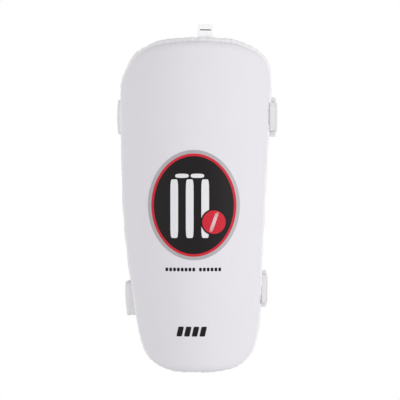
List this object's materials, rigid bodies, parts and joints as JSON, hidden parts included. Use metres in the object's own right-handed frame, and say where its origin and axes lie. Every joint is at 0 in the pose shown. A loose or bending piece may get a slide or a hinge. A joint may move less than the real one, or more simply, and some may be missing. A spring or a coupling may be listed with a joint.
{
  "type": "forearm guard",
  "caption": "Moulded forearm and elbow guard for cricket: an arched white padded face with a rolled rim, a towelling lining and elastic straps with hook and loop ends.",
  "frame": {"origin": "on the forearm's axis, halfway between the wrist end and the elbow end of the guard", "axes": "+Z along the forearm towards the elbow; -Y out of the moulded face; +X to the right of someone who looks at that face"},
  "size_m": [0.1421, 0.1124, 0.3014],
  "materials": {
    "moulded_cover": "matte",
    "firm_foam": "matte",
    "soft_foam": "matte",
    "towelling": "matte",
    "rim_cloth": "matte",
    "satin_label": "satin",
    "badge_film": "satin",
    "strap_elastic": "matte",
    "tab_webbing": "matte",
    "hook_tape": "matte",
    "loop_tape": "matte"
  },
  "bodies": {
    "guard": {"face_cover": "moulded_cover", "foam_shell": "firm_foam", "comfort_foam": "soft_foam", "towel_lining": "towelling", "rim_roll": "rim_cloth", "size_tag": "satin_label", "badge_film": "badge_film", "upper_strap_anchor": "strap_elastic", "upper_landing_anchor": "tab_webbing", "lower_strap_anchor": "strap_elastic", "lower_landing_anchor": "tab_webbing"},
    "upper_strap": {"upper_elastic": "strap_elastic"},
    "upper_end": {"upper_end_tab": "tab_webbing", "upper_hook_tape": "hook_tape", "upper_pull_tip": "tab_webbing"},
    "upper_landing": {"upper_landing_tab": "tab_webbing", "upper_loop_tape": "loop_tape"},
    "lower_strap": {"lower_elastic": "strap_elastic"},
    "lower_end": {"lower_end_tab": "tab_webbing", "lower_hook_tape": "hook_tape", "lower_pull_tip": "tab_webbing"},
    "lower_landing": {"lower_landing_tab": "tab_webbing", "lower_loop_tape": "loop_tape"}
  },
  "joints": [
    {"name": "upper_strap_swing", "type": "hinge", "parent": "guard", "child": "upper_strap", "pos_m": [-0.06843, -0.00584, 0.07805], "axis": [0, 0, 1], "range_deg": [0, 130]},
    {"name": "upper_end_peel", "type": "hinge", "parent": "upper_strap", "child": "upper_end", "pos_m": [0.04969, 0.03252, 0.07805], "axis": [0, 0, 1], "range_deg": [0, 75]},
    {"name": "upper_landing_flex", "type": "hinge", "parent": "guard", "child": "upper_landing", "pos_m": [0.0681, -0.00581, 0.07805], "axis": [0, 0, 1], "range_deg": [0, 40]},
    {"name": "lower_strap_swing", "type": "hinge", "parent": "guard", "child": "lower_strap", "pos_m": [-0.05964, -0.00582, -0.08305], "axis": [0, 0, 1], "range_deg": [0, 130]},
    {"name": "lower_end_peel", "type": "hinge", "parent": "lower_strap", "child": "lower_end", "pos_m": [0.03878, 0.03009, -0.07651], "axis": [0, 0, 1], "range_deg": [0, 75]},
    {"name": "lower_landing_flex", "type": "hinge", "parent": "guard", "child": "lower_landing", "pos_m": [0.06017, -0.00579, -0.07405], "axis": [0, 0, 1], "range_deg": [0, 40]}
  ]
}
